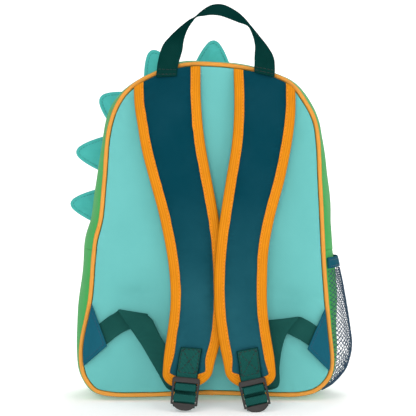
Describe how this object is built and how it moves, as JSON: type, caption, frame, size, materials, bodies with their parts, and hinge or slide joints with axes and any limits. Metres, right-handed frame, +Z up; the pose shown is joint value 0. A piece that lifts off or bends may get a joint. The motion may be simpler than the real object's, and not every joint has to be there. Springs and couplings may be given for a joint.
{
  "type": "children's backpack",
  "caption": "Small child's backpack with a row of soft back plates, padded crossing shoulder straps, webbing with ladder-lock buckles, carry handle and net side pocket",
  "frame": {"origin": "on the floor under the flat bottom, midway between the back and front seams and at the middle of the back seam", "axes": "+Z up, -Y out of the back panel that lies on the wearer's back (the pictured side), +Y out of the front panel, +X to the right as seen from the strap side"},
  "size_m": [0.2887, 0.1656, 0.3846],
  "materials": {
    "panel_fabric": "matt woven polyester over thin foam, aqua",
    "body_fabric": "matt woven polyester, green",
    "strap_fabric": "matt woven polyester over foam, dark petrol",
    "binding_tape": "folded woven tape, orange",
    "piping_tape": "tape sewn over a cord, dull orange",
    "webbing": "ribbed polypropylene webbing, dark green",
    "navy_fabric": "matt woven polyester, navy blue",
    "net": "open knitted net, navy blue",
    "plate_fabric": "stuffed woven polyester with a stitched edge, teal",
    "zip_tape": "woven tape with a nylon coil, dark green",
    "plastic": "moulded acetal, charcoal"
  },
  "bodies": {
    "root": {"back_panel": "panel_fabric", "front_panel": "body_fabric", "gusset_lower": "body_fabric", "zip_gusset_back": "body_fabric", "zip_gusset_front": "body_fabric", "zip_chain": "zip_tape", "zip_slider": "plastic", "back_piping": "piping_tape", "carry_handle": "webbing", "pocket_net": "net", "pocket_band": "navy_fabric", "spike_1": "plate_fabric", "spike_2": "plate_fabric", "spike_3": "plate_fabric", "spike_4": "plate_fabric", "spike_5": "plate_fabric", "strap_left": "strap_fabric", "strap_binding_left": "binding_tape", "buckle_left": "plastic", "strap_patch_left": "webbing", "adjust_webbing_left": "webbing", "tab_left": "navy_fabric", "strap_right": "strap_fabric", "strap_binding_right": "binding_tape", "buckle_right": "plastic", "strap_patch_right": "webbing", "adjust_webbing_right": "webbing", "tab_right": "navy_fabric"}
  },
  "joints": []
}
